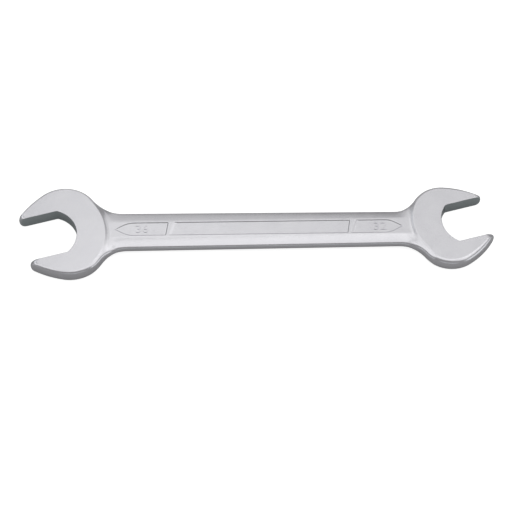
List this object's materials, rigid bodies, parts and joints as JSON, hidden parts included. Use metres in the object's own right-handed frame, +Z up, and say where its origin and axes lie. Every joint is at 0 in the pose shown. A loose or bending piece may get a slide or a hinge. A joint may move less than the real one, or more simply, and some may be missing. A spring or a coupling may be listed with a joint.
{
  "type": "double open end wrench",
  "caption": "Forged double open end wrench with slanted jaws of unlike size, thick heads and a flat shank with shallow recessed panels; turns hexagon nuts and bolt heads.",
  "frame": {"origin": "centre of the plan's bounding box, on the ground that the lower faces of the heads lie on", "axes": "+X along the shank towards the smaller head, +Y across the shank, +Z up through the thickness"},
  "size_m": [0.3434, 0.0734, 0.0108],
  "materials": {
    "satin_chrome": "satin, even chrome plate over forged steel, no paint"
  },
  "bodies": {
    "root": {"wrench_body": "satin_chrome"}
  },
  "joints": []
}
